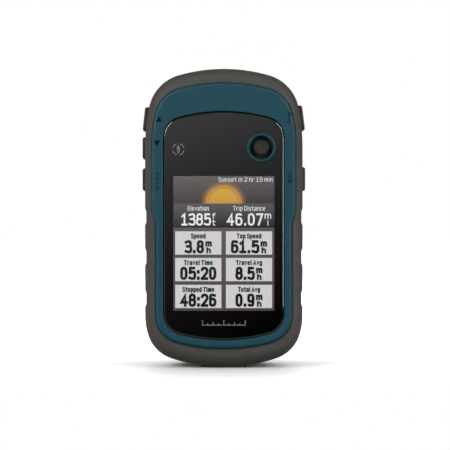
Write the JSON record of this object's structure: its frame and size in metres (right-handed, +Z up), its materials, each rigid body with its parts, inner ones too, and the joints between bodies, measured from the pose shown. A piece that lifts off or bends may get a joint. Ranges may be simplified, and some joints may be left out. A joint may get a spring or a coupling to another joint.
{
  "type": "handheld gps unit",
  "caption": "Palm-sized outdoor satellite navigator with a rubber grip band, side keys, thumb stick, colour display and a latched battery cover with a carrying ring.",
  "frame": {"origin": "centre of the object's box on the ground under its foot", "axes": "+Z up along the length, -Y is the display side, +X to the right seen from the front"},
  "size_m": [0.0564, 0.033, 0.103],
  "materials": {
    "housing_plastic": "fine moulded texture",
    "shell_plastic": "fine spark texture",
    "teal_plastic": "satin paint",
    "clear_window": "polished clear",
    "black_print": "printed black",
    "seal_foam": "foam",
    "grip_rubber": "matte overmould",
    "key_rubber": "matte",
    "port_rubber": "matte",
    "silicone": "soft",
    "gasket_rubber": "grey silicone",
    "steel_screw": "zinc plated",
    "stainless": "satin stainless",
    "latch_plastic": "moulded",
    "nickel_contact": "nickel plated",
    "cell_jacket": "printed sleeve",
    "circuit_board": "solder mask",
    "antenna_ceramic": "glazed ceramic",
    "sounder_black": "moulded",
    "switch_nylon": "nylon",
    "lcd_glass": "polariser film",
    "flex_film": "polyimide"
  },
  "bodies": {
    "case": {"front_housing": "housing_plastic", "front_bezel": "teal_plastic", "display_window": "clear_window", "window_mask": "black_print", "window_seal": "seal_foam", "rubber_band": "grip_rubber", "rear_housing": "shell_plastic", "case_gasket": "gasket_rubber", "case_screws": "steel_screw", "main_board": "circuit_board", "board_screws": "steel_screw", "shield_cans": "stainless", "patch_antenna": "antenna_ceramic", "piezo_sounder": "sounder_black", "lcd_panel": "lcd_glass", "lcd_frame": "stainless", "lcd_flex": "flex_film", "tact_switches": "sounder_black", "stick_ring": "teal_plastic", "stick_base": "sounder_black", "stick_boot": "silicone", "battery_left": "cell_jacket", "battery_right": "cell_jacket", "cell_springs": "nickel_contact", "contact_plates": "nickel_contact", "link_contact": "nickel_contact", "card_socket": "stainless", "memory_card": "sounder_black", "latch_keeper": "stainless", "port_shell": "stainless", "port_tongue": "sounder_black", "port_header": "sounder_black"},
    "key_zoom_in": {"key_zoom_in": "key_rubber", "plunger_zoom_in": "switch_nylon"},
    "key_zoom_out": {"key_zoom_out": "key_rubber", "plunger_zoom_out": "switch_nylon"},
    "key_menu": {"key_menu": "key_rubber", "plunger_menu": "switch_nylon"},
    "key_back": {"key_back": "key_rubber", "plunger_back": "switch_nylon"},
    "key_power": {"key_power": "key_rubber", "plunger_power": "switch_nylon"},
    "stick_yoke": {"stick_yoke": "switch_nylon"},
    "stick_rocker": {"stick_rocker": "switch_nylon"},
    "stick": {"stick_shaft": "stainless", "stick_cap": "key_rubber"},
    "card_door": {"card_door": "stainless"},
    "battery_cover": {"battery_cover": "shell_plastic", "cover_gasket": "gasket_rubber"},
    "latch": {"latch_spindle": "latch_plastic", "latch_o_ring": "silicone", "latch_washer": "stainless", "d_ring_pin": "stainless"},
    "d_ring": {"d_ring": "stainless"},
    "port_cap": {"port_cap": "port_rubber"}
  },
  "joints": [
    {"name": "press_zoom_in", "type": "slide", "parent": "case", "child": "key_zoom_in", "axis": [1, 0, 0], "range_m": [0, 0.0005], "stiffness_N_per_m": 3000},
    {"name": "press_zoom_out", "type": "slide", "parent": "case", "child": "key_zoom_out", "axis": [1, 0, 0], "range_m": [0, 0.0005], "stiffness_N_per_m": 3000},
    {"name": "press_menu", "type": "slide", "parent": "case", "child": "key_menu", "axis": [1, 0, 0], "range_m": [0, 0.0005], "stiffness_N_per_m": 3000},
    {"name": "press_back", "type": "slide", "parent": "case", "child": "key_back", "axis": [-1, 0, 0], "range_m": [0, 0.0005], "stiffness_N_per_m": 3000},
    {"name": "press_power", "type": "slide", "parent": "case", "child": "key_power", "axis": [-1, 0, 0], "range_m": [0, 0.0005], "stiffness_N_per_m": 3000},
    {"name": "stick_up_down", "type": "hinge", "parent": "case", "child": "stick_yoke", "pos_m": [0.0128, -0.0115, 0.0754], "axis": [1, 0, 0], "range_deg": [-7, 7], "stiffness_Nm_per_rad": 0.03},
    {"name": "stick_left_right", "type": "hinge", "parent": "stick_yoke", "child": "stick_rocker", "pos_m": [0.0128, -0.0115, 0.0754], "axis": [0, 0, 1], "range_deg": [-7, 7], "stiffness_Nm_per_rad": 0.03},
    {"name": "stick_press", "type": "slide", "parent": "stick_rocker", "child": "stick", "axis": [0, 1, 0], "range_m": [0, 0.0003], "stiffness_N_per_m": 4000},
    {"name": "card_door_slide", "type": "slide", "parent": "case", "child": "card_door", "axis": [0, 0, 1], "range_m": [0, 0.0015]},
    {"name": "battery_cover_lift", "type": "slide", "parent": "case", "child": "battery_cover", "axis": [0, 1, 0], "range_m": [0, 0.04]},
    {"name": "latch_turn", "type": "hinge", "parent": "battery_cover", "child": "latch", "pos_m": [0, 0.014, 0.0173], "axis": [0, 1, 0], "range_deg": [0, 90]},
    {"name": "d_ring_fold", "type": "hinge", "parent": "latch", "child": "d_ring", "pos_m": [0, 0.014, 0.0173], "axis": [1, 0, 0], "range_deg": [0, 180]},
    {"name": "port_cap_open", "type": "hinge", "parent": "case", "child": "port_cap", "pos_m": [0, 0.0141, 0.0863], "axis": [-1, 0, 0], "range_deg": [0, 100]}
  ]
}
